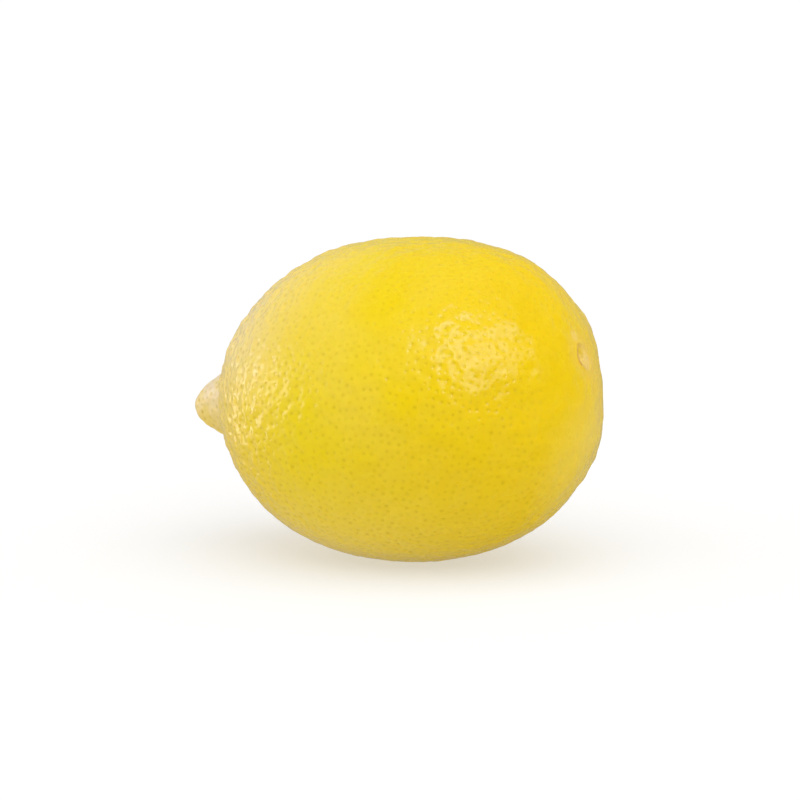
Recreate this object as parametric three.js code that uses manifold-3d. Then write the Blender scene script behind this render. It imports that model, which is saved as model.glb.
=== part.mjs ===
// A whole lemon lying on its side, grown as one piece. Millimetres, +Z up.
// +X runs along the fruit from the nipple at its blossom end to the scar at its stem end.
// The origin is the middle of the small flat spot that the fruit rests on.

import * as THREE from "three";
import { ConvexHull } from "three/addons/math/ConvexHull.js";
import { mergeVertices } from "three/addons/utils/BufferGeometryUtils.js";
import Module from "manifold-3d";

// ---------------------------------------------------------------- driving dimensions

// Half outline of the fruit about its long axis, with the girth at x = 0.
const GIRTH_RADIUS = 31;
const STEM_LENGTH = 37.3;
const STEM_BLUNTNESS = 18.7;
const STEM_SHOULDER = 19.1;
const BLOSSOM_LENGTH = 36.3;
const BLOSSOM_SHOULDER = 22;
const GROOVE_RADIUS = 7.7;
const GROOVE_APPROACH = 10;
const GROOVE_ANGLE = 72;

// Nipple at the blossom end, which is lifted off the long axis.
const NIPPLE_LENGTH = 9;
const NIPPLE_NECK = 4;
const NIPPLE_FLARE = 0.57;
const NIPPLE_BLUNTNESS = 3.5;
const BLOSSOM_LIFT = 1.25;
const BLOSSOM_LIFT_REACH = 10;
const NIPPLE_FURROWS = 6;
const NIPPLE_FURROW_DEPTH = 0.22;

// Stem end: a shallow hollow above the axis, with the round scar of the lost button in it.
const SCAR_RISE = 11.3;
const HOLLOW_DEPTH = 0.6;
const HOLLOW_REACH = 0.27;
const SCAR_RIM_RADIUS = 2.6;
const SCAR_RIM_HEIGHT = 0.3;
const SCAR_RIM_WIDTH = 0.5;
const SCAR_MOAT_RADIUS = 1.9;
const SCAR_MOAT_DEPTH = 0.4;
const SCAR_MOAT_WIDTH = 0.5;
const SCAR_BOSS_HEIGHT = 0.3;
const SCAR_BOSS_RADIUS = 1.2;

// Uneven growth: direction from the fruit's middle, height in mm and reach in radians.
const SWELLINGS = [
  { name: "upper stem shoulder", towards: [0.75, 0, 0.66], height: 2.1, reach: 0.45 },
  { name: "lower stem shoulder", towards: [0.75, 0, -0.66], height: 1.05, reach: 0.45 },
  { name: "upper far shoulder", towards: [0.86, 0.43, 0.275], height: 1.1, reach: 0.21 },
  { name: "lower far shoulder", towards: [0.87, 0.34, -0.355], height: 0.85, reach: 0.21 },
  { name: "back", towards: [-0.6, 0, 0.8], height: 0.5, reach: 0.55 },
  { name: "belly hollow", towards: [-0.35, 0, -0.94], height: -0.7, reach: 0.5 },
];

// Pores of the peel, at about twice their true spacing.
const PORE_COUNT = 1790;
const PORE_DEPTH = 0.32;
const PORE_DEPTH_SPREAD = 0.45;
const PORE_WANDER = 0.3;
const PORE_SEED = 4;

// How the fruit lies: its stem end tipped up, on a small flat spot.
const STEM_END_UP = 6.8;
const FLAT_DEPTH = 0.35;
const FLAT_CLEAR_RADIUS = 6.5;
const FLAT_FADE = 2.5;

const PEEL_YELLOW = 0xf0cd12;

// ---------------------------------------------------------------- half outline

const blossomX = -BLOSSOM_LENGTH;
const tipX = -BLOSSOM_LENGTH - NIPPLE_LENGTH;
const grooveAngle = THREE.MathUtils.degToRad(GROOVE_ANGLE);

const stemHalf = new THREE.CubicBezierCurve(
  new THREE.Vector2(STEM_LENGTH, 0),
  new THREE.Vector2(STEM_LENGTH, STEM_BLUNTNESS),
  new THREE.Vector2(STEM_SHOULDER, GIRTH_RADIUS),
  new THREE.Vector2(0, GIRTH_RADIUS),
);
const blossomHalf = new THREE.CubicBezierCurve(
  new THREE.Vector2(0, GIRTH_RADIUS),
  new THREE.Vector2(-BLOSSOM_SHOULDER, GIRTH_RADIUS),
  new THREE.Vector2(
    blossomX + GROOVE_APPROACH * Math.cos(grooveAngle),
    GROOVE_RADIUS + GROOVE_APPROACH * Math.sin(grooveAngle),
  ),
  new THREE.Vector2(blossomX, GROOVE_RADIUS),
);
const nipple = new THREE.CubicBezierCurve(
  new THREE.Vector2(blossomX, GROOVE_RADIUS),
  new THREE.Vector2(blossomX - NIPPLE_NECK, GROOVE_RADIUS - NIPPLE_FLARE * NIPPLE_NECK),
  new THREE.Vector2(tipX, NIPPLE_BLUNTNESS),
  new THREE.Vector2(tipX, 0),
);

// Points of the half outline, with the length walked and the skin area passed at each.
function walkOutline(curves, step) {
  const stations = [{ x: STEM_LENGTH, r: 0, length: 0, area: 0 }];
  for (const curve of curves) {
    const points = curve.getSpacedPoints(Math.round(curve.getLength() / step));
    for (const point of points.slice(1)) {
      const last = stations[stations.length - 1];
      const run = Math.hypot(point.x - last.x, point.y - last.r);
      stations.push({
        x: point.x,
        r: point.y,
        length: last.length + run,
        area: last.area + Math.PI * (last.r + point.y) * run,
      });
    }
  }
  return stations;
}

const stations = walkOutline([stemHalf, blossomHalf, nipple], 0.1);
const skinArea = stations[stations.length - 1].area;
const skinLength = stations[stations.length - 1].length;
const grooveLength = stemHalf.getLength() + blossomHalf.getLength();
// Radius of the ball whose skin area is the same as the fruit's.
const ballRadius = Math.sqrt(skinArea / (4 * Math.PI));

// The station where a rising quantity of the walk, such as its area, reaches a value.
function stationAt(quantity, value) {
  let low = 0;
  let high = stations.length - 1;
  while (high - low > 1) {
    const middle = (low + high) >> 1;
    if (stations[middle][quantity] > value) high = middle;
    else low = middle;
  }
  const a = stations[low];
  const b = stations[high];
  const t = THREE.MathUtils.clamp((value - a[quantity]) / (b[quantity] - a[quantity]), 0, 1);
  return {
    x: THREE.MathUtils.lerp(a.x, b.x, t),
    r: THREE.MathUtils.lerp(a.r, b.r, t),
    area: THREE.MathUtils.lerp(a.area, b.area, t),
    out: new THREE.Vector2(a.r - b.r, b.x - a.x).multiplyScalar(-1).normalize(),
  };
}

// ---------------------------------------------------------------- smooth skin

const swellings = SWELLINGS.map(({ towards, height, reach }) => ({
  towards: new THREE.Vector3(...towards).normalize(),
  height,
  reach,
}));
const scarRise = THREE.MathUtils.degToRad(SCAR_RISE);
const scarDirection = new THREE.Vector3(Math.cos(scarRise), 0, Math.sin(scarRise));
swellings.push({ towards: scarDirection, height: -HOLLOW_DEPTH, reach: HOLLOW_REACH });

// A round hill of height 1, 0 wide of its middle.
function hill(distance, reach) {
  return Math.exp(-((distance / reach) ** 2));
}

// Depth of the shallow furrows that run up the nipple and fade out at its groove and tip.
function nippleFurrow(x, turn) {
  const along = THREE.MathUtils.clamp((blossomX - x) / NIPPLE_LENGTH, 0, 1);
  const wave = (1 + Math.cos(NIPPLE_FURROWS * turn + 1.5 * Math.sin(turn))) / 2;
  return NIPPLE_FURROW_DEPTH * wave * Math.sin(Math.PI * along);
}

// Each spot of the skin is named by a direction on a ball: equal areas of the ball are
// equal areas of the skin, and the ball's X axis is the fruit's.
function skinSpot(direction) {
  const station = stationAt("area", (skinArea * (1 - direction.x)) / 2);
  const across = Math.hypot(direction.y, direction.z);
  const y = across > 0 ? direction.y / across : 0;
  const z = across > 0 ? direction.z / across : 0;
  const point = new THREE.Vector3(station.x, station.r * y, station.r * z);
  const normal = new THREE.Vector3(station.out.x, station.out.y * y, station.out.y * z);

  const lift = THREE.MathUtils.clamp((blossomX + BLOSSOM_LIFT_REACH - point.x) / BLOSSOM_LIFT_REACH, 0, 1);
  point.z += BLOSSOM_LIFT * lift ** 2;
  point.addScaledVector(normal, -nippleFurrow(station.x, Math.atan2(z, y)));

  const outward = point.clone().normalize();
  let swell = 0;
  for (const { towards, height, reach } of swellings) {
    swell += height * hill(outward.angleTo(towards), reach);
  }
  point.addScaledVector(outward, swell);

  const lying = new THREE.Vector3(0, 1, 0);
  const tip = -THREE.MathUtils.degToRad(STEM_END_UP);
  return { point: point.applyAxisAngle(lying, tip), normal: normal.applyAxisAngle(lying, tip) };
}

// Directions spread evenly over the whole ball, in a sunflower spiral.
function spreadDirections(count) {
  const golden = Math.PI * (3 - Math.sqrt(5));
  const directions = [];
  for (let i = 0; i < count; i += 1) {
    const x = 1 - (2 * (i + 0.5)) / count;
    const across = Math.sqrt(1 - x * x);
    directions.push(new THREE.Vector3(x, across * Math.cos(i * golden), across * Math.sin(i * golden)));
  }
  return directions;
}

// The lowest spot of the smooth skin, where the flat spot goes.
const lowest = spreadDirections(40000)
  .map((direction) => skinSpot(direction).point)
  .reduce((low, point) => (point.z < low.z ? point : low));

// ---------------------------------------------------------------- relief

function scarDistance(direction) {
  return ballRadius * direction.angleTo(scarDirection);
}

// Height of the scar's rim, moat and boss over the smooth skin.
function scarRelief(direction) {
  const distance = scarDistance(direction);
  return (
    SCAR_RIM_HEIGHT * hill(distance - SCAR_RIM_RADIUS, SCAR_RIM_WIDTH) -
    SCAR_MOAT_DEPTH * hill(distance - SCAR_MOAT_RADIUS, SCAR_MOAT_WIDTH) +
    SCAR_BOSS_HEIGHT * hill(distance, SCAR_BOSS_RADIUS)
  );
}

// The finished skin's vertex for a direction, sunk by a pore's depth.
function skinVertex(direction, poreDepth) {
  const { point, normal } = skinSpot(direction);
  const fromFlat = Math.hypot(point.x - lowest.x, point.y - lowest.y);
  const clear =
    point.z > 0 ? 1 : THREE.MathUtils.smoothstep(fromFlat, FLAT_CLEAR_RADIUS, FLAT_CLEAR_RADIUS + FLAT_FADE);
  point.addScaledVector(normal, scarRelief(direction) - poreDepth * clear);
  point.x -= lowest.x;
  point.y -= lowest.y;
  point.z -= lowest.z + FLAT_DEPTH;
  return point;
}

// ---------------------------------------------------------------- vertices of the skin

// A ring of directions round an axis, at an angle from it, turned by a share of its step.
function ringDirections(axis, angle, count, turn) {
  const side = new THREE.Vector3(0, 1, 0);
  const start = axis.clone().applyAxisAngle(side, angle);
  const ring = [];
  for (let i = 0; i < count; i += 1) {
    ring.push(start.clone().applyAxisAngle(axis, ((i + turn) * 2 * Math.PI) / count));
  }
  return ring;
}

// The scar's own rings, from its middle out: radius in mm and vertices in the ring.
const SCAR_RINGS = [
  [0.75, 6],
  [1.4, 10],
  [1.9, 13],
  [2.25, 15],
  [2.6, 17],
  [3.1, 17],
  [4, 18],
];
const SCAR_CLEAR_RADIUS = 4.8;

const scarDirections = [scarDirection.clone()];
SCAR_RINGS.forEach(([radius, count], index) => {
  scarDirections.push(...ringDirections(scarDirection, radius / ballRadius, count, index * 0.37));
});

// The nipple's own rings, from its tip over the groove to the shoulder.
const NIPPLE_RING_STEP = 1.35;
const RINGS_PAST_GROOVE = [0.8, 1.9, 3.1];
const NIPPLE_CLEAR = 3.9;
const nippleReach = skinLength - grooveLength;
const ringsOnNipple = Math.round(nippleReach / NIPPLE_RING_STEP);
const ringStep = nippleReach / ringsOnNipple;
const blossomPole = new THREE.Vector3(-1, 0, 0);
const nippleDirections = [blossomPole.clone()];
const ringLengths = [];
for (let i = 1; i <= ringsOnNipple; i += 1) {
  ringLengths.push(i * ringStep);
}
RINGS_PAST_GROOVE.forEach((past) => ringLengths.push(nippleReach + past));
ringLengths.forEach((fromTip, i) => {
  const station = stationAt("length", skinLength - fromTip);
  const angle = Math.acos((2 * station.area) / skinArea - 1);
  const count = Math.max(7, Math.round((2 * Math.PI * station.r) / NIPPLE_RING_STEP));
  nippleDirections.push(...ringDirections(blossomPole, angle, count, i * 0.41));
});
const nippleClear = stationAt("length", grooveLength - NIPPLE_CLEAR).area / skinArea;

// Pores wander off the even spiral, and stay clear of the scar and the nipple.
let seed = PORE_SEED;
function random() {
  seed += 1;
  return THREE.MathUtils.seededRandom(seed * 7919);
}
function onPoredSkin(direction) {
  return scarDistance(direction) > SCAR_CLEAR_RADIUS && (1 - direction.x) / 2 < nippleClear;
}
const poreSpacing = Math.sqrt((4 * Math.PI) / PORE_COUNT);
const poreDirections = spreadDirections(PORE_COUNT)
  .map((direction) => {
    const wander = new THREE.Vector3(random() - 0.5, random() - 0.5, random() - 0.5);
    return direction.addScaledVector(wander, 2 * PORE_WANDER * poreSpacing).normalize();
  })
  .filter(onPoredSkin);

// Triangles of the convex hull of directions, as triples of their indices.
function hullTriangles(directions) {
  const indexOf = new Map(directions.map((direction, index) => [direction, index]));
  const hull = new ConvexHull().setFromPoints(directions);
  return hull.faces.map((face) => {
    const first = face.edge;
    return [first, first.next, first.next.next].map((edge) => indexOf.get(edge.head().point));
  });
}

// Between every three neighbouring pores the skin stands at its full height.
const featureDirections = [...scarDirections, ...nippleDirections];
const coarse = [...poreDirections, ...featureDirections];
const ridgeDirections = hullTriangles(coarse)
  .map((triangle) => triangle.reduce((sum, index) => sum.add(coarse[index]), new THREE.Vector3()).normalize())
  .filter(onPoredSkin);

// ---------------------------------------------------------------- solid

const directions = [...poreDirections, ...ridgeDirections, ...featureDirections];
const positions = new Float32Array(directions.length * 3);
directions.forEach((direction, index) => {
  const isPore = index < poreDirections.length;
  const depth = isPore ? PORE_DEPTH * (1 + PORE_DEPTH_SPREAD * (2 * random() - 1)) : 0;
  skinVertex(direction, depth).toArray(positions, index * 3);
});
const grown = new THREE.BufferGeometry();
grown.setAttribute("position", new THREE.BufferAttribute(positions, 3));
grown.setIndex(hullTriangles(directions).flat());

const wasm = await Module();
wasm.setup();

// A three.js geometry as a solid.
function solidOf(geometry) {
  const bare = geometry.clone();
  bare.deleteAttribute("normal");
  bare.deleteAttribute("uv");
  const merged = mergeVertices(bare);
  return new wasm.Manifold(
    new wasm.Mesh({
      numProp: 3,
      vertProperties: merged.attributes.position.array,
      triVerts: new Uint32Array(merged.index.array),
    }),
  );
}

// Everything below z = 0 is cut away, which leaves the flat spot.
const below = new THREE.BoxGeometry(120, 120, 20).translate(0, 0, -10);
const cut = solidOf(grown).subtract(solidOf(below)).getMesh();
const geometry = new THREE.BufferGeometry();
geometry.setAttribute("position", new THREE.BufferAttribute(cut.vertProperties, 3));
geometry.setIndex(new THREE.BufferAttribute(cut.triVerts, 1));
geometry.computeVertexNormals();

const peel = new THREE.MeshStandardMaterial({ color: PEEL_YELLOW, roughness: 0.42, metalness: 0 });
const lemon = new THREE.Mesh(geometry, peel);
lemon.name = "lemon";

const part = new THREE.Group();
part.add(lemon);

export default part;
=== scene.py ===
"""A whole lemon lying on its side: pored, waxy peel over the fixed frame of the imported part."""

import logging
import math
from dataclasses import dataclass, field
from enum import Enum
from typing import Any

import bpy
import numpy as np
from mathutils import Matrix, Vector


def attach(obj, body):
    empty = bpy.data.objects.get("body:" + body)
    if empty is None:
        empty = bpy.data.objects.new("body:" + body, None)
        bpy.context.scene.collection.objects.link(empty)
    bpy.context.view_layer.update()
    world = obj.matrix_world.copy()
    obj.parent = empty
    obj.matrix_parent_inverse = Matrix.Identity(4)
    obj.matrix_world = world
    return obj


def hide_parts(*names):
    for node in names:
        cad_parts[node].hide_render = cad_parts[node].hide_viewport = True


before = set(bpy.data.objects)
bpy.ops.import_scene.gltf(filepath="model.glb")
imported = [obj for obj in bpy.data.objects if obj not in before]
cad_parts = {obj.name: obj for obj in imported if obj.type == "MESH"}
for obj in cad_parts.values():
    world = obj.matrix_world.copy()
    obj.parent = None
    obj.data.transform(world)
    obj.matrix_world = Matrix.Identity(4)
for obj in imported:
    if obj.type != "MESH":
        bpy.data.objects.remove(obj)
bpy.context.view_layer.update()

MM = 0.001
LOG = logging.getLogger("lemon")
Array = np.ndarray
Colour = tuple[float, float, float]
Direction = tuple[float, float, float]


# ------------------------------------------------------------------ node tools


@dataclass(frozen=True)
class Band:
    """Where a value changes softly from one level to another."""

    low: float
    high: float
    start: float = 0.0
    end: float = 1.0

    def step(self, values: Array) -> Array:
        """The soft step of plain numbers across the band."""
        t = np.clip((values - self.low) / (self.high - self.low), 0.0, 1.0)
        return self.start + (self.end - self.start) * t * t * (3 - 2 * t)


@dataclass(frozen=True)
class Wire:
    """A value that runs through a node tree and takes ordinary arithmetic."""

    bench: "Bench"
    socket: bpy.types.NodeSocket

    def __add__(self, other: "Wire | float") -> "Wire":
        """The sum."""
        return self.bench.math("ADD", self, other)

    def __radd__(self, other: float) -> "Wire":
        """The sum, with the number first."""
        return self + other

    def __sub__(self, other: "Wire | float") -> "Wire":
        """The difference."""
        return self.bench.math("SUBTRACT", self, other)

    def __rsub__(self, other: float) -> "Wire":
        """The difference, with the number first."""
        return self.bench.math("SUBTRACT", other, self)

    def __mul__(self, other: "Wire | float") -> "Wire":
        """The product."""
        return self.bench.math("MULTIPLY", self, other)

    def __rmul__(self, other: float) -> "Wire":
        """The product, with the number first."""
        return self * other

    def __truediv__(self, other: "Wire | float") -> "Wire":
        """The quotient."""
        return self.bench.math("DIVIDE", self, other)

    def at_least(self, other: "Wire | float") -> "Wire":
        """The larger of the two."""
        return self.bench.math("MAXIMUM", self, other)

    def at_most(self, other: "Wire | float") -> "Wire":
        """The smaller of the two."""
        return self.bench.math("MINIMUM", self, other)

    def across(self, band: Band, unit: float = MM) -> "Wire":
        """The soft step of this value across a band.

        Args:
            band: The band, with its ends in units.
            unit: The size of a unit: a millimetre, or 1 for a plain number.

        Returns:
            The stepped value.
        """
        inputs = {0: self, 1: band.low * unit, 2: band.high * unit, 3: band.start, 4: band.end}
        node = self.bench.add("ShaderNodeMapRange", inputs, interpolation_type="SMOOTHSTEP")
        return self.bench.out(node)

    def over(self, band: Band) -> "Wire":
        """The soft step of a plain number across a band."""
        return self.across(band, 1.0)


class Bench:
    """Adds nodes to one tree, and joins them."""

    def __init__(self, tree: bpy.types.NodeTree) -> None:
        """Starts work on a tree."""
        self.tree = tree

    def add(self, kind: str, inputs: dict[Any, Any] | None = None, **settings: Any) -> bpy.types.Node:
        """Adds a node.

        Args:
            kind: The node's type name.
            inputs: Wires and constants, by the input's name or place.
            settings: The node's own options.

        Returns:
            The new node.
        """
        node = self.tree.nodes.new(kind)
        for name, value in settings.items():
            setattr(node, name, value)
        for key, value in (inputs or {}).items():
            self.feed(node.inputs[key], value)
        return node

    def feed(self, socket: bpy.types.NodeSocket, value: Any) -> None:
        """Joins a wire to a socket, or sets the constant on it."""
        if isinstance(value, Wire):
            self.tree.links.new(value.socket, socket)
        else:
            socket.default_value = value

    def out(self, node: bpy.types.Node, output: Any = 0) -> Wire:
        """The wire that leaves a node."""
        return Wire(self, node.outputs[output])

    def math(self, operation: str, *values: "Wire | float") -> Wire:
        """One step of arithmetic on wires and numbers."""
        inputs = dict(enumerate(values))
        return self.out(self.add("ShaderNodeMath", inputs, operation=operation))

    def vector(self, operation: str, *values: Any, output: Any = 0) -> Wire:
        """One step of vector arithmetic."""
        inputs = dict(enumerate(values))
        return self.out(self.add("ShaderNodeVectorMath", inputs, operation=operation), output)

    def scaled(self, vector: Any, factor: "Wire | float") -> Wire:
        """A vector made longer or shorter."""
        node = self.add("ShaderNodeVectorMath", {0: vector, "Scale": factor}, operation="SCALE")
        return self.out(node)

    def parts(self, vector: Wire) -> tuple[Wire, Wire, Wire]:
        """A vector's X, Y and Z."""
        node = self.add("ShaderNodeSeparateXYZ", {0: vector})
        return self.out(node, 0), self.out(node, 1), self.out(node, 2)

    def distance(self, place: Wire, other: Any) -> Wire:
        """The distance between two places."""
        return self.vector("DISTANCE", place, other, output="Value")

    def blend(self, factor: "Wire | float", under: Any, over: Any, mode: str = "MIX") -> Wire:
        """Lays one colour over another.

        Args:
            factor: How much of the upper colour shows.
            under: The lower colour.
            over: The upper colour.
            mode: The blend mode.

        Returns:
            The blended colour.
        """
        inputs = {0: factor, 6: as_colour(under), 7: as_colour(over)}
        node = self.add("ShaderNodeMix", inputs, data_type="RGBA", blend_type=mode)
        return self.out(node, 2)

    def noise(self, place: Any, size: float, detail: float = 2.0, roughness: float = 0.5) -> Wire:
        """Cloudy noise from 0 to 1.

        Args:
            place: The position that it is read at.
            size: The clouds' size in millimetres.
            detail: How many finer layers it has.
            roughness: How strong those layers are.

        Returns:
            The noise.
        """
        scale = 1.0 / (size * MM)
        inputs = {"Vector": place, "Scale": scale, "Detail": detail, "Roughness": roughness}
        return self.out(self.add("ShaderNodeTexNoise", inputs))


def as_colour(value: Any) -> Any:
    """A plain colour with its alpha added; a wire is left as it is."""
    return value if isinstance(value, Wire) else (*value, 1.0)


# ------------------------------------------------------------------ form of the fruit


@dataclass(frozen=True)
class Swelling:
    """A soft hill or hollow of uneven growth."""

    towards: Direction
    height: float
    reach: float


@dataclass(frozen=True)
class LemonForm:
    """The fruit's driving dimensions, in millimetres and degrees."""

    girth_radius: float = 31.0
    stem_length: float = 37.3
    stem_bluntness: float = 18.7
    stem_shoulder: float = 19.1
    blossom_length: float = 36.3
    blossom_shoulder: float = 22.0
    groove_radius: float = 7.7
    groove_approach: float = 10.0
    groove_angle: float = 72.0
    nipple_length: float = 9.0
    nipple_neck: float = 4.0
    nipple_flare: float = 0.57
    nipple_bluntness: float = 3.5
    blossom_lift: float = 1.25
    blossom_lift_reach: float = 10.0
    nipple_furrows: int = 6
    nipple_furrow_depth: float = 0.22
    nipple_furrow_sway: float = 1.5
    scar_rise: float = 11.3
    hollow_depth: float = 0.6
    hollow_reach: float = 0.27
    stem_end_up: float = 6.8
    flat_depth: float = 0.35
    swellings: tuple[Swelling, ...] = (
        Swelling((0.75, 0.0, 0.66), 2.1, 0.45),
        Swelling((0.75, 0.0, -0.66), 1.05, 0.45),
        Swelling((0.86, 0.43, 0.275), 1.1, 0.21),
        Swelling((0.87, 0.34, -0.355), 0.85, 0.21),
        Swelling((-0.6, 0.0, 0.8), 0.5, 0.55),
        Swelling((-0.35, 0.0, -0.94), -0.7, 0.5),
    )


def bezier(controls: list[tuple[float, float]], count: int) -> Array:
    """Points of a cubic Bezier curve."""
    t = np.linspace(0.0, 1.0, count)[:, None]
    a, b, c, d = (np.array(control) for control in controls)
    return (1 - t) ** 3 * a + 3 * (1 - t) ** 2 * t * b + 3 * (1 - t) * t**2 * c + t**3 * d


def unit(vectors: Array) -> Array:
    """Vectors brought to length 1."""
    return vectors / np.linalg.norm(vectors, axis=-1, keepdims=True)


def hill(distance: Array, reach: float) -> Array:
    """A round hill of height 1 that falls to nothing past its reach."""
    return np.exp(-((distance / reach) ** 2))


class Skin:
    """The fruit's smooth skin, with every spot named by a direction on a ball.

    Equal areas of the ball are equal areas of the skin, and the ball's X axis is the fruit's.
    """

    outline_points = 1500
    nipple_points = 1000
    lowest_spot_points = 60000

    def __init__(self, form: LemonForm) -> None:
        """Walks the half outline once, and finds the lowest spot."""
        self.form = form
        rise = math.radians(form.scar_rise)
        self.scar = np.array([math.cos(rise), 0.0, math.sin(rise)])
        self.x, self.r, self.area = self.outline()
        self.ball_radius = math.sqrt(self.area[-1] / (4 * math.pi))
        points = self.points(self.spread(self.lowest_spot_points))
        self.lowest = points[np.argmin(points[:, 2])]

    def outline(self) -> tuple[Array, Array, Array]:
        """The half outline from the stem pole to the nipple's tip.

        Returns:
            Its places along the axis, its radii, and the skin area passed at each.
        """
        f = self.form
        angle = math.radians(f.groove_angle)
        groove = (-f.blossom_length, f.groove_radius)
        approach = (
            groove[0] + f.groove_approach * math.cos(angle),
            groove[1] + f.groove_approach * math.sin(angle),
        )
        tip = -f.blossom_length - f.nipple_length
        stem = [
            (f.stem_length, 0.0),
            (f.stem_length, f.stem_bluntness),
            (f.stem_shoulder, f.girth_radius),
            (0.0, f.girth_radius),
        ]
        blossom = [(0.0, f.girth_radius), (-f.blossom_shoulder, f.girth_radius), approach, groove]
        neck = (groove[0] - f.nipple_neck, f.groove_radius - f.nipple_flare * f.nipple_neck)
        nipple = [groove, neck, (tip, f.nipple_bluntness), (tip, 0.0)]
        halves = [bezier(stem, self.outline_points), bezier(blossom, self.outline_points)[1:]]
        walk = np.vstack([*halves, bezier(nipple, self.nipple_points)[1:]])
        run = np.linalg.norm(np.diff(walk, axis=0), axis=1)
        area = np.concatenate([[0.0], np.cumsum(math.pi * (walk[1:, 1] + walk[:-1, 1]) * run)])
        return walk[:, 0], walk[:, 1], area

    @staticmethod
    def spread(count: int) -> Array:
        """Directions spread evenly over the ball, in a sunflower spiral."""
        i = np.arange(count)
        x = 1 - 2 * (i + 0.5) / count
        turn = i * math.pi * (3 - math.sqrt(5))
        across = np.sqrt(1 - x * x)
        return np.stack([x, across * np.cos(turn), across * np.sin(turn)], axis=1)

    def furrow(self, x: Array, turn: Array) -> Array:
        """Depth of the furrows that run up the nipple."""
        f = self.form
        along = np.clip((-f.blossom_length - x) / f.nipple_length, 0.0, 1.0)
        wave = (1 + np.cos(f.nipple_furrows * turn + f.nipple_furrow_sway * np.sin(turn))) / 2
        return f.nipple_furrow_depth * wave * np.sin(math.pi * along)

    def points(self, directions: Array) -> Array:
        """The skin's points, lying, in millimetres from the fruit's middle."""
        f = self.form
        passed = self.area[-1] * (1 - directions[:, 0]) / 2
        x = np.interp(passed, self.area, self.x)
        r = np.interp(passed, self.area, self.r)
        turn = np.arctan2(directions[:, 2], directions[:, 1])
        r = np.maximum(r - self.furrow(x, turn), 0.0)
        points = np.stack([x, r * np.cos(turn), r * np.sin(turn)], axis=1)
        blossom = -f.blossom_length
        lift = np.clip((blossom + f.blossom_lift_reach - x) / f.blossom_lift_reach, 0.0, 1.0)
        points[:, 2] += f.blossom_lift * lift**2
        outward = unit(points)
        swell = np.zeros(len(points))
        hollow = Swelling(tuple(self.scar), -f.hollow_depth, f.hollow_reach)
        for growth in (*f.swellings, hollow):
            towards = unit(np.array(growth.towards))
            away = np.arccos(np.clip(outward @ towards, -1.0, 1.0))
            swell += growth.height * hill(away, growth.reach)
        points += outward * swell[:, None]
        tip = math.radians(f.stem_end_up)
        lying = points.copy()
        lying[:, 0] = points[:, 0] * math.cos(tip) - points[:, 2] * math.sin(tip)
        lying[:, 2] = points[:, 0] * math.sin(tip) + points[:, 2] * math.cos(tip)
        return lying

    def placed(self, points: Array) -> Array:
        """Points moved so that the flat spot's middle is the origin."""
        return points - self.lowest - np.array([0.0, 0.0, self.form.flat_depth])

    def middle(self) -> Array:
        """The middle of the girth, in the part's frame."""
        return self.placed(np.zeros(3))


# ------------------------------------------------------------------ peel


class Zone(Enum):
    """Parts of the skin that the finish treats in their own way, as attribute names."""

    PORED = "pored"
    NIPPLE = "nipple"
    ROUGH = "rough_end"
    SCAR = "scar_distance"


@dataclass
class StemScar:
    """The round scar that the lost button left, in millimetres from its middle."""

    rim_radius: float = 2.6
    rim_height: float = 0.16
    rim_width: float = 0.42
    moat_radius: float = 2.1
    moat_depth: float = 0.1
    moat_width: float = 0.3
    boss_height: float = 0.1
    boss_radius: float = 1.3
    rays: int = 9
    ray_depth: float = 0.08
    ray_radius: float = 1.3
    ray_width: float = 0.6
    rim_sway: tuple[float, float] = (0.35, 0.2)
    outline_sway: tuple[float, float] = (0.14, 0.04)

    def relief(self, distance: Array, turn: Array) -> Array:
        """Height of the scar over the smooth skin.

        Args:
            distance: Distance from the scar's middle.
            turn: Angle round the scar's middle.

        Returns:
            The height at each place.
        """
        oval, three_sided = self.rim_sway
        uneven = 1 + oval * np.sin(2 * turn + 0.6) + three_sided * np.sin(3 * turn + 2.0)
        rim = self.rim_height * uneven * hill(distance - self.rim_radius, self.rim_width)
        moat = self.moat_depth * hill(distance - self.moat_radius, self.moat_width)
        boss = self.boss_height * hill(distance, self.boss_radius)
        rays = np.cos(self.rays * turn) * hill(distance - self.ray_radius, self.ray_width)
        return rim - moat + boss + self.ray_depth * rays

    def out_of_round(self, distance: Array, turn: Array) -> Array:
        """Distances from the scar's middle as its own uneven outline counts them."""
        oval, three_sided = self.outline_sway
        return distance * (1 + oval * np.sin(2 * turn) + three_sided * np.sin(3 * turn + 0.5))


@dataclass(frozen=True)
class Grain:
    """How the peel's relief changes over the fruit, with places and sizes in millimetres."""

    pore_lot_cell: float = 0.2
    pore_least: float = 0.2
    pore_spread: float = 1.5
    patch_size: float = 19.0
    patches: Band = Band(0.35, 0.65, 0.65, 1.15)
    nipple_loss: float = 0.25
    rough_end_pores: Band = Band(1.15, 1.9, 1.0, 0.75)
    lump_size: float = 6.0
    lumps_by_scar: Band = Band(4.0, 16.0, 0.2, 1.0)
    lumps_along: Band = Band(-24.0, 8.0, 0.4, 1.0)
    calm_below: Band = Band(6.0, 28.0, 0.4, 1.0)
    pebble_size: float = 2.1
    pebble_squeeze: Direction = (1.25, 1.0, 1.0)
    rough_end_pebbles: Band = Band(1.0, 1.6, 1.0, 0.82)
    pebbles_below: float = 0.3


@dataclass(frozen=True)
class Gather:
    """Where the mesh's corners are drawn together, and how closely."""

    reach: float
    share: float


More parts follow.
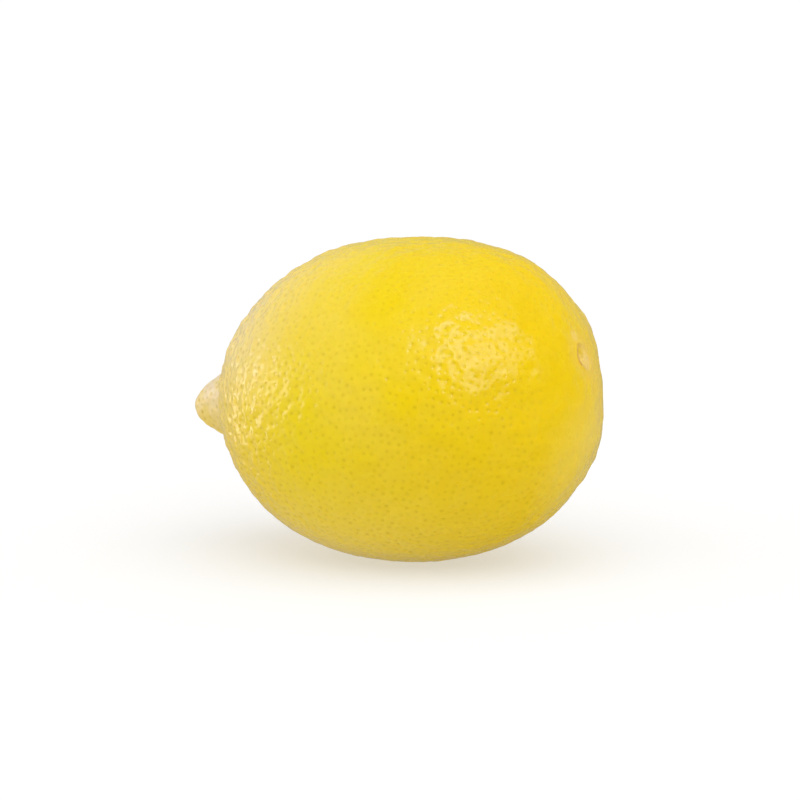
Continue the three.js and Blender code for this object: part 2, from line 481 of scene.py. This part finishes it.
@dataclass
class Peel:
    """The whole fruit's skin as one closed mesh with its pores, in millimetres."""

    form: LemonForm = field(default_factory=LemonForm)
    scar: StemScar = field(default_factory=StemScar)
    grain: Grain = field(default_factory=Grain)
    cells: int = 128
    scar_gather: Gather = Gather(0.62, 0.45)
    nipple_gather: Gather = Gather(0.7, 0.62)
    pored_past_scar: Band = Band(3.2, 5.5)
    pored_past_rest: Band = Band(0.1, 0.9)
    nipple_edge: Band = Band(-4.0, 8.0, 1.0, 0.0)
    rough_edge: Band = Band(6.0, 34.0, 2.3, 1.0)
    calm_stem_end: Band = Band(27.0, 36.0, 0.0, -0.5)
    pore_spacing: float = 1.27
    pore_reach: float = 0.62
    pore_depth: float = 0.09
    lump_height: float = 0.78
    pebble_height: float = 0.44
    seed: int = 11

    def ball(self) -> tuple[Array, Array]:
        """A ball of square cells, in six even patches.

        Returns:
            The corner directions and the cells' corner numbers, facing outwards.
        """
        n = self.cells
        steps = np.tan(np.linspace(-math.pi / 4, math.pi / 4, n + 1))
        u, v = np.meshgrid(steps, steps, indexing="ij")
        one = np.ones_like(u)
        patches = [(one, u, v), (-one, v, u), (v, one, u), (u, -one, v), (u, v, one), (v, u, -one)]
        corners = np.concatenate([np.stack(p, axis=-1).reshape(-1, 3) for p in patches])
        corners = unit(corners)
        i, j = np.meshgrid(np.arange(n), np.arange(n), indexing="ij")
        first = (i * (n + 1) + j).ravel()
        quad = np.stack([first, first + n + 1, first + n + 2, first + 1], axis=1)
        quads = np.concatenate([quad + k * (n + 1) ** 2 for k in range(6)])
        keys = np.round(corners * 1e6).astype(np.int64)
        _, keep, where = np.unique(keys, axis=0, return_index=True, return_inverse=True)
        return corners[keep], where.ravel()[quads]

    @staticmethod
    def drawn_in(directions: Array, axis: Array, gather: Gather) -> Array:
        """Draws directions in towards an axis, so that a small feature gets more corners.

        Args:
            directions: The directions to move.
            axis: Where they are drawn to.
            gather: How far round it the pull goes, in radians, and the spacing that is left at
                the axis, as a share of the even one.

        Returns:
            The moved directions.
        """
        cosine = np.clip(directions @ axis, -1.0, 1.0)
        angle = np.arccos(cosine)
        side = directions - cosine[:, None] * axis
        length = np.linalg.norm(side, axis=1, keepdims=True)
        side = np.divide(side, length, out=np.zeros_like(side), where=length > 1e-9)
        drawn = angle * Band(0.0, gather.reach, gather.share, 1.0).step(angle)
        return np.cos(drawn)[:, None] * axis + np.sin(drawn)[:, None] * side

    def smooth_mesh(self, skin: Skin) -> bpy.types.Object:
        """The fruit with its scar and nipple, before its pores.

        Args:
            skin: The skin that the corners lie on.

        Returns:
            The new object, with its zones as attributes.
        """
        directions, quads = self.ball()
        directions = self.drawn_in(directions, skin.scar, self.scar_gather)
        directions = self.drawn_in(directions, np.array([-1.0, 0.0, 0.0]), self.nipple_gather)
        points = skin.points(directions)

        across = np.cross(skin.scar, np.array([0.0, 1.0, 0.0]))
        turn = np.arctan2(directions @ across, directions[:, 1])
        away = skin.ball_radius * np.arccos(np.clip(directions @ skin.scar, -1.0, 1.0))
        away = self.scar.out_of_round(away, turn)
        outward = unit(points)
        points += outward * self.scar.relief(away, turn)[:, None]
        points = skin.placed(points)

        mesh = bpy.data.meshes.new("lemon_peel")
        mesh.from_pydata((points * MM).tolist(), [], quads.tolist())
        mesh.update()
        mesh.shade_smooth()
        along = self.axis_place(directions, skin)
        from_groove = along + skin.form.blossom_length
        zones = {
            Zone.PORED: self.pored_past_scar.step(away) * self.pored_past_rest.step(points[:, 2]),
            Zone.NIPPLE: self.nipple_edge.step(from_groove),
            Zone.ROUGH: self.rough_edge.step(from_groove) + self.calm_stem_end.step(along),
            Zone.SCAR: away * MM,
        }
        for zone, values in zones.items():
            attribute = mesh.attributes.new(zone.value, "FLOAT", "POINT")
            attribute.data.foreach_set("value", values.astype(np.float32))
        fruit = bpy.data.objects.new("lemon_peel", mesh)
        bpy.context.scene.collection.objects.link(fruit)
        return fruit

    @staticmethod
    def axis_place(directions: Array, skin: Skin) -> Array:
        """Places along the fruit's axis for directions, in millimetres."""
        return np.interp(skin.area[-1] * (1 - directions[:, 0]) / 2, skin.area, skin.x)

    @staticmethod
    def zone(bench: Bench, zone: Zone) -> Wire:
        """A zone's strength, inside a geometry tree."""
        return bench.out(bench.add("GeometryNodeInputNamedAttribute", {"Name": zone.value}))

    def pore_tree(self) -> bpy.types.NodeTree:
        """The tree that scatters the pores over the skin and sinks it round each."""
        tree = bpy.data.node_groups.new("pored_skin", "GeometryNodeTree")
        face = tree.interface
        face.new_socket("Skin", in_out="INPUT", socket_type="NodeSocketGeometry")
        sizes = {
            "Pore Spacing": "NodeSocketFloat",
            "Pore Reach": "NodeSocketFloat",
            "Pore Depth": "NodeSocketFloat",
            "Lump Height": "NodeSocketFloat",
            "Pebble Height": "NodeSocketFloat",
            "Seed": "NodeSocketInt",
            "Finish": "NodeSocketMaterial",
        }
        for name, kind in sizes.items():
            face.new_socket(name, in_out="INPUT", socket_type=kind)
        face.new_socket("Skin", in_out="OUTPUT", socket_type="NodeSocketGeometry")

        grain = self.grain
        bench = Bench(tree)
        given = bench.add("NodeGroupInput")
        skin = bench.out(given, "Skin")
        reach = bench.out(given, "Pore Reach")
        depth = bench.out(given, "Pore Depth")

        pored, nipple, rough_end, scar = (self.zone(bench, zone) for zone in Zone)
        scatter = {
            "Mesh": skin,
            "Distance Min": bench.out(given, "Pore Spacing"),
            "Density Max": 3.0e6,
            "Density Factor": pored,
            "Seed": bench.out(given, "Seed"),
        }
        pores = bench.out(
            bench.add("GeometryNodeDistributePointsOnFaces", scatter, distribute_method="POISSON")
        )
        place = bench.out(bench.add("GeometryNodeInputPosition"))
        normal = bench.out(bench.add("GeometryNodeInputNormal"))
        nearest = bench.add("GeometryNodeProximity", {0: pores}, target_element="POINTS")
        centre = bench.out(nearest, "Position")
        distance = bench.out(nearest, "Distance")

        cell = grain.pore_lot_cell * MM
        own_cell = bench.scaled(bench.vector("SNAP", centre, (cell, cell, cell)), 1.0 / cell)
        lot = bench.out(bench.add("ShaderNodeTexWhiteNoise", {"Vector": own_cell}))
        patchy = bench.noise(place, grain.patch_size, 1.0).over(grain.patches)
        relief = patchy * rough_end * pored * (1.0 - grain.nipple_loss * nipple)
        pit = (distance / reach).over(Band(0.0, 1.0, 1.0, 0.0)) * rough_end.over(grain.rough_end_pores)
        sink = pit * depth * (grain.pore_least + grain.pore_spread * lot) * relief

        along, _, height = bench.parts(place)
        calm = height.across(grain.calm_below)
        even = pored * scar.across(grain.lumps_by_scar) * along.across(grain.lumps_along) * calm
        lump = (bench.noise(place, grain.lump_size, 1.0) - 0.5) * bench.out(given, "Lump Height")
        squeezed = bench.vector("MULTIPLY", place, grain.pebble_squeeze)
        pebble = (bench.noise(squeezed, grain.pebble_size, 0.0) - 0.5) * bench.out(given, "Pebble Height")
        settled = grain.pebbles_below + (1.0 - grain.pebbles_below) * calm
        pebble = pebble * relief * rough_end.over(grain.rough_end_pebbles) * settled
        raised = bench.scaled(normal, lump * even + pebble - sink)
        moved_x, moved_y, moved_z = bench.parts(bench.vector("ADD", place, raised))
        rested = bench.add("ShaderNodeCombineXYZ", {0: moved_x, 1: moved_y, 2: moved_z.at_least(0.0)})
        shaped = bench.add("GeometryNodeSetPosition", {"Geometry": skin, "Position": bench.out(rested)})

        marks = {
            "pore_centre": (bench.vector("ADD", centre, raised), "FLOAT_VECTOR"),
            "pore_lot": (lot, "FLOAT"),
        }
        geometry = bench.out(shaped)
        for name, (value, kind) in marks.items():
            store = bench.add(
                "GeometryNodeStoreNamedAttribute",
                {"Geometry": geometry, "Name": name, "Value": value},
                data_type=kind,
                domain="FACE",
            )
            geometry = bench.out(store)
        real = bench.out(bench.add("GeometryNodeRealizeInstances", {"Geometry": geometry}))
        finish = {"Geometry": real, "Material": bench.out(given, "Finish")}
        painted = bench.out(bench.add("GeometryNodeSetMaterial", finish))
        bench.add("NodeGroupOutput", {"Skin": painted})
        return tree

    def build(self, skin: Skin, finish: bpy.types.Material) -> bpy.types.Object:
        """Builds the peel as one plain mesh.

        Args:
            skin: The smooth skin.
            finish: The peel's material.

        Returns:
            The finished object.
        """
        fruit = self.smooth_mesh(skin)
        modifier = fruit.modifiers.new("pores", "NODES")
        modifier.node_group = self.pore_tree()
        values = {
            "Pore Spacing": self.pore_spacing * MM,
            "Pore Reach": self.pore_reach * MM,
            "Pore Depth": self.pore_depth * MM,
            "Lump Height": self.lump_height * MM,
            "Pebble Height": self.pebble_height * MM,
            "Seed": self.seed,
            "Finish": finish,
        }
        for item in modifier.node_group.interface.items_tree:
            if item.item_type == "SOCKET" and item.name in values:
                modifier[item.identifier] = values[item.name]
        graph = bpy.context.evaluated_depsgraph_get()
        made = bpy.data.meshes.new_from_object(fruit.evaluated_get(graph), depsgraph=graph)
        fruit.modifiers.clear()
        smooth = fruit.data
        fruit.data = made
        bpy.data.meshes.remove(smooth)
        made.name = "lemon_peel"
        made.shade_smooth()
        return fruit


# ------------------------------------------------------------------ finish

# The pale speck above the stem scar, in millimetres from the scar's middle.
SPECK_FROM_SCAR = (-1.2, -1.2, 4.2)


@dataclass(frozen=True)
class PeelTones:
    """Where the peel's tones lie, painted sheen, shade and light among them: places in millimetres on X,
    Y or Z, or levels of cloudy noise.
    """

    blossom_side_x: Band = Band(-12.0, 33.0, 1.0, 0.0)
    # Painted shade: the peel turns a darker gold towards the bottom.
    shade_below_z: Band = Band(4.0, 34.0, 0.6, 0.0)
    golden_size: float = 12.0
    golden_clouds: Band = Band(0.46, 0.66)
    golden_share: float = 0.45
    golden_lost_on_blossom_side: float = 0.3
    # Painted sheen: paler underneath, standing in for the floor's reflection.
    sheen_under_z: Band = Band(2.0, 27.0, 1.0, 0.0)
    sheen_under_share: float = 0.2
    sheen_under_on_blossom_side: float = 0.65
    pale_size: float = 22.0
    pale_clouds: Band = Band(0.38, 0.66)
    pale_clouds_z: Band = Band(18.0, 36.0, 0.1, 0.55)
    # Painted sheen: paler on the upper side, standing in for the bright room's reflection.
    sheen_top_z: Band = Band(40.0, 60.0)
    sheen_top_x: Band = Band(-16.0, 8.0, 0.9, 0.1)
    pale_mottle: Band = Band(0.35, 0.75, 0.0, 0.08)
    # Painted sheen: the stem end's edge is paler, more so towards its lower side, as the bright room's
    # reflection.
    sheen_lean: float = 0.35
    sheen_stem_end: Band = Band(23.6, 29.0, 0.0, 0.4)
    blossom_end_x: Band = Band(-31.0, -9.0, 1.0, 0.0)
    blossom_end_yellow: float = 0.8
    # Painted sheen: a peach tone on the blossom end, stronger higher up and on the side that faces the
    # camera, as a grazing reflection.
    peach_sheen_z: Band = Band(27.0, 46.0, 0.12, 1.0)
    peach_sheen_y: Band = Band(-16.0, 10.0, 0.85, 0.102)
    # Painted light: a paler rose band round the nipple's neck, lifting the shade in the groove.
    neck_outer_x: Band = Band(-38.0, -32.5, 0.0, 0.3)
    neck_inner_x: Band = Band(-32.5, -24.0, 1.0, 0.0)
    tip: Band = Band(0.35, 0.85)
    # The nipple's cream is its own colour; its thinning towards the underside is painted shade.
    tip_z: Band = Band(23.0, 33.0, 0.35, 1.0)
    tip_size: float = 2.4
    tip_patches: Band = Band(0.36, 0.6, 0.7, 1.0)


@dataclass(frozen=True)
class ScarTones:
    """Where the stem scar's tones lie, in millimetres from its middle, or as levels of noise."""

    wobble: float = 1.5
    wobble_size: float = 1.6
    halo: Band = Band(3.0, 6.5, 0.6, 0.0)
    speck: Band = Band(0.6, 1.5, 0.6, 0.0)
    callus: Band = Band(2.1, 2.9, 0.9, 0.0)
    golden_above: Band = Band(0.0, 1.1)
    golden_near_side: Band = Band(-1.4, 1.0, 1.0, 0.3)
    ring_inside: Band = Band(1.8, 2.25)
    ring_outside: Band = Band(2.35, 2.9, 1.0, 0.0)
    ring_near_side: Band = Band(-1.4, 1.0, 0.9, 0.1)
    ring_gap_size: float = 1.9
    ring_gaps: Band = Band(0.36, 0.58, 0.3, 1.0)


@dataclass(frozen=True)
class PoreTones:
    """How each pore's olive dot and its dimple show, in millimetres and shares."""

    dot: Band = Band(0.05, 0.56, 1.0, 0.0)
    least: float = 0.15
    spread: float = 0.8
    share: float = 0.42
    more_where_coarse: float = 0.05
    more_on_nipple: float = 0.2
    loss_where_calm: float = 1.3
    stem_end_x: Band = Band(30.0, 37.0, 1.0, 0.25)
    top_z: Band = Band(34.0, 58.0, 1.0, 0.4)
    dimple: Band = Band(0.0, 0.45)
    dimple_depth: float = 0.15
    dimple_strength: float = 0.3
    dimple_limit: float = 1.4


@dataclass(frozen=True)
class PeelFinish:
    """Waxy lemon peel: clear yellow, paler towards the nipple, with a callus on the stem scar, and with
    painted sheen, shade and light in its colour.
    """

    scar_at: Direction
    speck_at: Direction
    tones: PeelTones = field(default_factory=PeelTones)
    scar: ScarTones = field(default_factory=ScarTones)
    pore: PoreTones = field(default_factory=PoreTones)
    yellow: Colour = (0.83, 0.572, 0.0)
    lime: Colour = (0.802, 0.612, 0.0)
    # Pale yellow: the peel's own random pale clouds and mottle, and painted sheen on the upper side and
    # underneath.
    pale: Colour = (0.815, 0.612, 0.07)
    # A darker copy of the yellow, used for random golden clouds and for painted shade towards the bottom.
    stem_end_sheen: Colour = (0.86, 0.65, 0.11)
    # Painted sheen at the stem end's edge.
    gold_and_shade: Colour = (0.765, 0.525, 0.0)
    # Painted sheen of a grazing reflection on the blossom end.
    peach_sheen: Colour = (0.86, 0.69, 0.31)
    cream: Colour = (0.81, 0.66, 0.43)
    # Painted light for the groove round the nipple's neck.
    rosy_light: Colour = (0.88, 0.68, 0.30)
    olive: Colour = (0.58, 0.40, 0.0)
    halo: Colour = (0.82, 0.55, 0.05)
    callus: Colour = (0.87, 0.61, 0.15)
    callus_gold: Colour = (0.70, 0.47, 0.02)
    scar_brown: Colour = (0.58, 0.29, 0.04)
    coarse_end: Band = Band(1.0, 2.2)
    mottle_size: float = 4.5
    roughness: float = 0.27
    roughness_mottle: float = 0.1
    smoother_where_coarse: float = 0.07
    rougher_on_nipple: float = 0.14

    def material(self) -> bpy.types.Material:
        """The material, read in object coordinates and from the peel's own marks."""
        made = bpy.data.materials.new("lemon_peel")
        made.use_nodes = True
        tree = made.node_tree
        tree.nodes.clear()
        bench = Bench(tree)
        place = bench.out(bench.add("ShaderNodeTexCoord"), "Object")
        centre = bench.out(bench.add("ShaderNodeAttribute", attribute_name="pore_centre"), "Vector")
        away = bench.distance(place, centre)
        pored = self.mark(bench, Zone.PORED.value)
        nipple = self.mark(bench, Zone.NIPPLE.value)
        rough_end = self.mark(bench, Zone.ROUGH.value)
        coarse = rough_end.over(self.coarse_end)
        mottle = bench.noise(place, self.mottle_size, 3.0)

        base = self.skin_colour(bench, place, mottle)
        base = self.nipple_colour(bench, place, nipple, base)
        pore = self.pore
        share = pore.share + pore.more_where_coarse * coarse + pore.more_on_nipple * nipple
        dots = self.pore_dots(bench, place, away, rough_end) * pored
        base = bench.blend(dots * share, base, self.olive)
        base = self.scar_colour(bench, place, base)

        height = away.across(pore.dimple) * pored * rough_end.at_most(pore.dimple_limit)
        dimples = {"Strength": pore.dimple_strength, "Distance": pore.dimple_depth * MM}
        bump = bench.add("ShaderNodeBump", {**dimples, "Height": height})
        rough = self.roughness + (mottle - 0.5) * self.roughness_mottle
        rough = rough - coarse * self.smoother_where_coarse + nipple * self.rougher_on_nipple
        inputs = {
            "Base Color": base,
            "Roughness": rough,
            "Normal": bench.out(bump),
            "IOR": 1.5,
            "Specular IOR Level": 0.33,
            "Specular Tint": (1.0, 0.98, 0.7, 1.0),
            "Subsurface Weight": 0.15,
            "Subsurface Radius": (1.0, 0.62, 0.12),
            "Subsurface Scale": 0.0015,
        }
        shader = bench.add("ShaderNodeBsdfPrincipled", inputs)
        bench.add("ShaderNodeOutputMaterial", {"Surface": bench.out(shader)})
        return made

    @staticmethod
    def mark(bench: Bench, name: str) -> Wire:
        """A number that the peel's mesh carries."""
        return bench.out(bench.add("ShaderNodeAttribute", attribute_name=name), "Fac")

    def skin_colour(self, bench: Bench, place: Wire, mottle: Wire) -> Wire:
        """The peel's own yellow, with painted sheen and shade laid over it.

        Args:
            bench: The material's tree.
            place: The position on the peel.
            mottle: Cloudy noise a few millimetres across.

        Returns:
            The colour without pores, nipple or scar.
        """
        tones = self.tones
        x, y, z = bench.parts(place)
        blossom_side = x.across(tones.blossom_side_x)
        base = bench.blend(blossom_side, self.yellow, self.lime)
        # Painted shade: darker gold towards the bottom, where less light falls.
        base = bench.blend(z.across(tones.shade_below_z), base, self.gold_and_shade)
        golden = bench.noise(place, tones.golden_size).over(tones.golden_clouds)
        golden = golden * (tones.golden_share - tones.golden_lost_on_blossom_side * blossom_side)
        base = bench.blend(golden, base, self.gold_and_shade)

        clouds = bench.noise(place, tones.pale_size).over(tones.pale_clouds)
        clouds = clouds * z.across(tones.pale_clouds_z) * blossom_side
        # Painted sheen: paler on the upper side.
        top = z.across(tones.sheen_top_z) * x.across(tones.sheen_top_x)
        # Painted sheen: paler underneath, as the floor's reflection.
        under = tones.sheen_under_share + tones.sheen_under_on_blossom_side * blossom_side
        under = under * z.across(tones.sheen_under_z)
        # The clouds and mottle are the peel's own paler tone; the rest is painted sheen.
        paleness_and_sheen = clouds + top + under + mottle.over(tones.pale_mottle)
        base = bench.blend(paleness_and_sheen, base, self.pale)

        # Painted sheen: the stem end paler towards its edge, leaning further in lower down.
        end_on = x - z * tones.sheen_lean
        base = bench.blend(end_on.across(tones.sheen_stem_end), base, self.stem_end_sheen)
        blossom_end = x.across(tones.blossom_end_x)
        base = bench.blend(blossom_end * tones.blossom_end_yellow, base, self.yellow)
        # Painted sheen: peach on the blossom end's upper, camera-facing side.
        peach_sheen = blossom_end * z.across(tones.peach_sheen_z) * y.across(tones.peach_sheen_y)
        return bench.blend(peach_sheen, base, self.peach_sheen)

    def nipple_colour(self, bench: Bench, place: Wire, nipple: Wire, base: Wire) -> Wire:
        """Lays the nipple's cream over the peel's colour, and a rose-tinted painted light on its neck
        that lifts the groove's shade.

        Args:
            bench: The material's tree.
            place: The position on the peel.
            nipple: How far a place belongs to the nipple.
            base: The peel's colour.

        Returns:
            The colour with the nipple.
        """
        tones = self.tones
        x, _, z = bench.parts(place)
        patches = bench.noise(place, tones.tip_size, 1.0).over(tones.tip_patches)
        # Cream fuller higher up, thinning on the underside: painted shade there.
        tip = nipple.over(tones.tip) * z.across(tones.tip_z) * patches
        base = bench.blend(tip, base, self.cream)
        # Painted light: a paler rose band round the neck, lifting the shade where the nipple meets the
        # body.
        neck = x.across(tones.neck_outer_x) * x.across(tones.neck_inner_x)
        return bench.blend(neck, base, self.rosy_light)

    def pore_dots(self, bench: Bench, place: Wire, away: Wire, rough_end: Wire) -> Wire:
        """How strongly each pore's dot shows.

        Args:
            bench: The material's tree.
            place: The position on the peel.
            away: The distance from the nearest pore's middle.
            rough_end: How coarse the peel is.

        Returns:
            The dots' strength, from 0 to 1.
        """
        pore = self.pore
        x, _, z = bench.parts(place)
        strength = pore.least + pore.spread * self.mark(bench, "pore_lot")
        calm = 1.0 - pore.loss_where_calm * (1.0 - rough_end.at_most(1.0))
        faded = calm * x.across(pore.stem_end_x) * z.across(pore.top_z)
        return away.across(pore.dot) * strength * faded

    def scar_colour(self, bench: Bench, place: Wire, base: Wire) -> Wire:
        """Lays the stem scar over the peel's colour.

        Args:
            bench: The material's tree.
            place: The position on the peel.
            base: The peel's colour.

        Returns:
            The colour with the scar.
        """
        scar = self.scar
        distance = self.mark(bench, Zone.SCAR.value)
        wobble = (bench.noise(place, scar.wobble_size) - 0.5) * (scar.wobble * MM)
        base = bench.blend(distance.across(scar.halo), base, self.halo)
        speck = bench.distance(place, self.speck_at) + wobble
        base = bench.blend(speck.across(scar.speck), base, self.callus)

        _, y, z = bench.parts(bench.vector("SUBTRACT", place, self.scar_at))
        golden = (z + wobble * 2.0).across(scar.golden_above) * y.across(scar.golden_near_side)
        callus = bench.blend(golden, self.callus, self.callus_gold)
        edge = distance + wobble
        base = bench.blend(edge.across(scar.callus), base, callus)
        ring = edge.across(scar.ring_inside) * edge.across(scar.ring_outside)
        gaps = bench.noise(place, scar.ring_gap_size, 1.0).over(scar.ring_gaps)
        return bench.blend(ring * gaps * y.across(scar.ring_near_side), base, self.scar_brown)


# ------------------------------------------------------------------ studio


@dataclass(frozen=True)
class Panel:
    """A bright panel that glints in the peel and lights nothing else.

    Its direction is given by the camera's right, up and backward directions.
    """

    name: str
    towards: Direction
    size: tuple[float, float]
    brightness: float
    tint: Colour = (0.35, 0.485, 1.0)


@dataclass(frozen=True)
class SoftLight:
    """A broad light that falls on the peel and doesn't glint in it, given as a panel is."""

    name: str
    towards: Direction
    brightness: float
    spread: float


@dataclass(frozen=True)
class Wall:
    """A part of the room that shows only in the peel's gloss, placed as a panel is."""

    towards: Direction
    colour: Colour
    spread: Band


@dataclass
class Studio:
    """The floor, the light and the camera round the fruit, in metres and degrees."""

    azimuth: float = 23.56
    elevation: float = 10.0
    distance: float = 0.7
    sensor: float = 36.0
    lens_pixels: float = 3676.0
    frame_pixels: int = 800
    fruit_at: tuple[float, float] = (409.3, 400.8)
    nearest: float = 0.01
    farthest: float = 50.0
    floor_reach: float = 6.0
    paper: Colour = (0.46, 0.46, 0.46)
    paper_glow: float = 0.48
    paper_roughness: float = 0.9
    paper_gloss: float = 0.1
    lamp_distance: float = 0.9
    even_room: Colour = (0.567, 0.567, 0.567)
    mirrored_room: Colour = (0.03, 0.03, 0.03)
    walls: tuple[Wall, ...] = (
        Wall((-0.8, -0.1, -0.6), (0.47, 0.44, 0.43), Band(0.1, 0.9)),
        Wall((0.5, 0.15, -0.85), (0.34, 0.36, 0.42), Band(0.6, 1.0)),
        Wall((-0.6, 0.5, -0.62), (0.68, 0.66, 0.66), Band(0.7, 1.0)),
    )
    panels: tuple[Panel, ...] = (
        Panel("pane_left", (0.14, 0.6, 0.79), (0.26, 0.36), 10.0),
        Panel("pane_right", (0.5, 0.56, 0.66), (0.2, 0.34), 8.6),
        Panel("pane_low", (0.36, 0.26, 0.9), (0.34, 0.24), 7.6),
        Panel("pane_far", (0.74, 0.42, 0.52), (0.1, 0.16), 9.0),
        Panel("strip_near", (-0.99, 0.0, -0.02), (0.13, 0.7), 8.2, (0.84, 0.76, 0.94)),
        Panel("strip_far", (-0.89, 0.0, -0.45), (0.12, 0.7), 6.0, (0.84, 0.76, 0.94)),
    )
    soft_lights: tuple[SoftLight, ...] = (
        SoftLight("overhead", (0.15, 0.84, 0.52), 1.8, 80.0),
        SoftLight("left", (-0.9, 0.45, 0.3), 0.42, 60.0),
        SoftLight("right", (0.95, 0.25, -0.15), 0.34, 60.0),
    )

    def axes(self) -> tuple[Vector, Vector, Vector]:
        """The camera's right, up and backward directions."""
        az, el = math.radians(self.azimuth), math.radians(self.elevation)
        back = Vector((math.sin(az) * math.cos(el), -math.cos(az) * math.cos(el), math.sin(el)))
        right = Vector((math.cos(az), math.sin(az), 0.0))
        return right, back.cross(right), back

    def direction(self, towards: Direction) -> Vector:
        """A direction given by the camera's right, up and backward directions."""
        right, up, back = self.axes()
        return right * towards[0] + up * towards[1] + back * towards[2]

    def camera(self, middle: Vector) -> bpy.types.Object:
        """The camera, looking a little beside the fruit's middle.

        Args:
            middle: The middle of the fruit's girth.

        Returns:
            The scene's camera.
        """
        right, up, back = self.axes()
        metres = self.distance / self.lens_pixels
        across = (self.fruit_at[0] - self.frame_pixels / 2) * metres
        down = (self.fruit_at[1] - self.frame_pixels / 2) * metres
        aim = middle - right * across + up * down
        lens = bpy.data.cameras.new("camera")
        lens.sensor_width = self.sensor
        lens.lens = self.sensor * self.lens_pixels / self.frame_pixels
        lens.clip_start = self.nearest
        lens.clip_end = self.farthest
        made = bpy.data.objects.new("camera", lens)
        made.location = aim + back * self.distance
        made.rotation_euler = back.to_track_quat("Z", "Y").to_euler()
        bpy.context.scene.collection.objects.link(made)
        bpy.context.scene.camera = made
        return made

    def point(self, lamp: bpy.types.Light, towards: Vector, middle: Vector) -> bpy.types.Object:
        """Hangs a lamp on one side of the fruit, facing it.

        Args:
            lamp: The lamp.
            towards: The direction that it hangs in, from the fruit's middle.
            middle: The fruit's middle.

        Returns:
            The lamp's object.
        """
        made = bpy.data.objects.new(lamp.name, lamp)
        made.location = middle + towards.normalized() * self.lamp_distance
        made.rotation_euler = towards.to_track_quat("Z", "Y").to_euler()
        bpy.context.scene.collection.objects.link(made)
        return made

    def lights(self, middle: Vector) -> None:
        """An even room, soft light from above and both sides, and panels that glint in the peel."""
        self.room()
        for panel in self.panels:
            lamp = bpy.data.lights.new(panel.name, "AREA")
            lamp.shape = "ELLIPSE"
            lamp.size, lamp.size_y = panel.size
            lamp.energy = panel.brightness * math.pi * panel.size[0] * panel.size[1]
            lamp.color = panel.tint
            self.point(lamp, self.direction(panel.towards), middle).visible_diffuse = False
        for soft in self.soft_lights:
            lamp = bpy.data.lights.new(soft.name, "SUN")
            lamp.energy = soft.brightness
            lamp.angle = math.radians(soft.spread)
            lamp.cycles.use_multiple_importance_sampling = False
            self.point(lamp, self.direction(soft.towards), middle).visible_glossy = False

    def room(self) -> None:
        """The room: even light on the fruit, and a dark room with paler walls in its gloss."""
        world = bpy.data.worlds.new("pale_room")
        bpy.context.scene.world = world
        world.cycles.sampling_method = "NONE"
        world.use_nodes = True
        world.node_tree.nodes.clear()
        bench = Bench(world.node_tree)
        looking = bench.out(bench.add("ShaderNodeTexCoord"), "Generated")
        mirrored = self.mirrored_room
        for wall in self.walls:
            towards = tuple(self.direction(wall.towards).normalized())
            facing = bench.vector("DOT_PRODUCT", looking, towards, output="Value")
            mirrored = bench.blend(facing.over(wall.spread), mirrored, wall.colour)
        glossy = bench.out(bench.add("ShaderNodeLightPath"), "Is Glossy Ray")
        light = bench.blend(glossy, self.even_room, mirrored)
        sky = bench.add("ShaderNodeBackground", {"Color": light, "Strength": 1.0})
        bench.add("ShaderNodeOutputWorld", {"Surface": bench.out(sky)})

    def floor(self) -> bpy.types.Object:
        """A wide pale floor that the fruit lies on."""
        mesh = bpy.data.meshes.new("floor")
        side = self.floor_reach
        corners = [(-side, -side, 0.0), (side, -side, 0.0), (side, side, 0.0), (-side, side, 0.0)]
        mesh.from_pydata(corners, [], [(0, 1, 2, 3)])
        paper = bpy.data.materials.new("white_paper")
        paper.use_nodes = True
        shader = paper.node_tree.nodes["Principled BSDF"]
        shader.inputs["Base Color"].default_value = (*self.paper, 1.0)
        shader.inputs["Emission Color"].default_value = (1.0, 1.0, 1.0, 1.0)
        shader.inputs["Emission Strength"].default_value = self.paper_glow
        shader.inputs["Roughness"].default_value = self.paper_roughness
        shader.inputs["Specular IOR Level"].default_value = self.paper_gloss
        mesh.materials.append(paper)
        made = bpy.data.objects.new("floor", mesh)
        made.visible_glossy = False
        bpy.context.scene.collection.objects.link(made)
        return made

    def build(self, middle: Vector) -> None:
        """Sets up the whole studio round the fruit's middle."""
        self.camera(middle)
        self.lights(middle)
        self.floor()
        bpy.context.scene.view_settings.view_transform = "Standard"
        bpy.context.scene.view_settings.look = "None"


def main() -> None:
    """Builds the fruit and its studio."""
    logging.basicConfig(level=logging.INFO, format="%(message)s")
    form = LemonForm()
    skin = Skin(form)
    peel = Peel(form=form)
    scar_at = skin.placed(skin.points(skin.scar[None, :]))[0]
    speck_at = scar_at + np.array(SPECK_FROM_SCAR)
    finish = PeelFinish(tuple(scar_at * MM), tuple(speck_at * MM))
    fruit = peel.build(skin, finish.material())
    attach(fruit, "root")
    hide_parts("lemon")
    LOG.info("%s: %d corners, %d faces", fruit.name, len(fruit.data.vertices), len(fruit.data.polygons))
    Studio().build(Vector(skin.middle() * MM))


if __name__ == "__main__":
    main()
